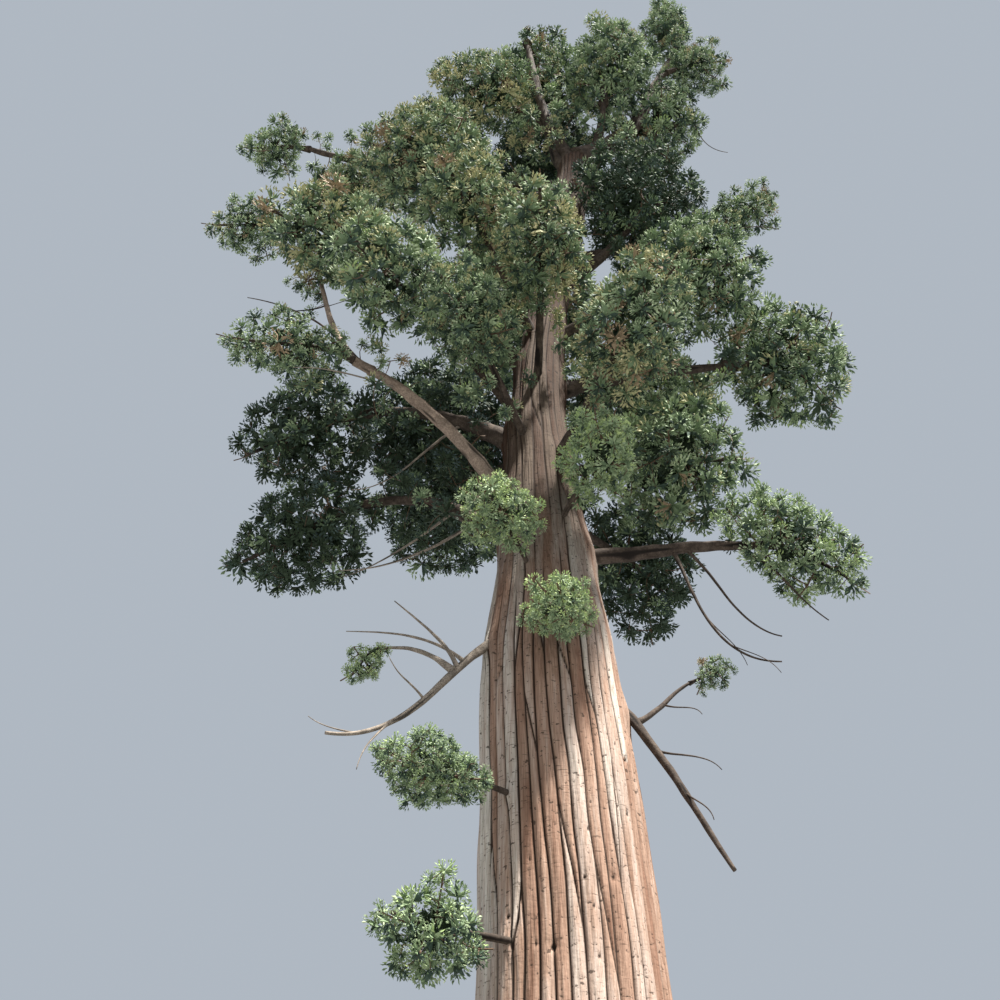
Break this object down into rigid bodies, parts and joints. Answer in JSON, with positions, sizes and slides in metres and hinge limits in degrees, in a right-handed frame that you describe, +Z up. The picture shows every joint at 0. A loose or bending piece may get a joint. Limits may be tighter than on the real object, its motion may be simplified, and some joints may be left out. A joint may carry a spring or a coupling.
{
  "type": "giant sequoia tree",
  "caption": "tall giant sequoia with a thick fluted tapering trunk, a fork of leaders, long bent boughs, bare dead limbs and clumped foliage, rooted on level ground",
  "frame": {"origin": "centre of the flat cut under the trunk, at ground level", "axes": "+Z up the trunk, +X to the right and +Y away from someone who looks at the tree as in the picture"},
  "size_m": [15.1649, 10.0509, 40],
  "materials": {
    "trunk_bark": "rough furrowed fibrous bark, cinnamon to cream",
    "limb_bark": "rough scaly grey-brown bark",
    "dead_wood": "bare weathered wood, pale grey",
    "foliage_green": "matte scale leaves, mid green",
    "foliage_bright": "matte scale leaves, bright green",
    "foliage_olive": "matte scale leaves, olive with brown",
    "foliage_shade": "matte scale leaves, dark green"
  },
  "bodies": {
    "root": {"trunk": "trunk_bark", "leader_tip": "limb_bark", "leader_right": "limb_bark", "leader_middle": "limb_bark", "leader_back": "limb_bark", "leader_left": "limb_bark", "bough_upper_left_long": "limb_bark", "bough_upper_left_high": "limb_bark", "bough_left_long": "limb_bark", "bough_left_far": "limb_bark", "bough_front_left": "limb_bark", "bough_left_low": "limb_bark", "bough_left_shaded": "limb_bark", "limb_dead": "dead_wood", "limb_dead_fork": "dead_wood", "bough_right_upper": "limb_bark", "bough_right_middle": "limb_bark", "bough_right_low": "limb_bark", "limb_hanging_long": "dead_wood", "limb_hanging_short": "dead_wood", "limb_right_low": "limb_bark", "limb_right_side": "limb_bark", "foliage_crown_tip": "foliage_green", "foliage_crown_right": "foliage_green", "foliage_crown_middle": "foliage_green", "foliage_crown_back": "foliage_green", "foliage_crown_left": "foliage_olive", "foliage_crown_side": "foliage_green", "foliage_crown_behind": "foliage_shade", "foliage_wing_tip": "foliage_green", "foliage_wing_back": "foliage_olive", "foliage_wing_inner": "foliage_olive", "foliage_left_far": "foliage_green", "foliage_left_front": "foliage_olive", "foliage_front_left_low": "foliage_green", "foliage_front_left_high": "foliage_olive", "foliage_front": "foliage_olive", "foliage_left_hanging": "foliage_green", "foliage_front_left_inner": "foliage_green", "foliage_left_low": "foliage_shade", "foliage_left_shaded": "foliage_shade", "foliage_left_inner": "foliage_shade", "foliage_trunk_left": "foliage_bright", "foliage_trunk_front": "foliage_bright", "foliage_trunk_right": "foliage_bright", "foliage_low_upper": "foliage_bright", "foliage_low_lower": "foliage_bright", "foliage_left_tuft": "foliage_bright", "foliage_right_tuft": "foliage_green", "foliage_right_upper": "foliage_green", "foliage_right_high": "foliage_green", "foliage_right_inner": "foliage_shade", "foliage_front_right": "foliage_olive", "foliage_right_outer": "foliage_green", "foliage_right_middle": "foliage_green", "foliage_right_drooping": "foliage_bright", "foliage_back_right_low": "foliage_shade", "foliage_back_left": "foliage_shade", "foliage_back_right": "foliage_green", "foliage_back_high": "foliage_green"}
  },
  "joints": []
}
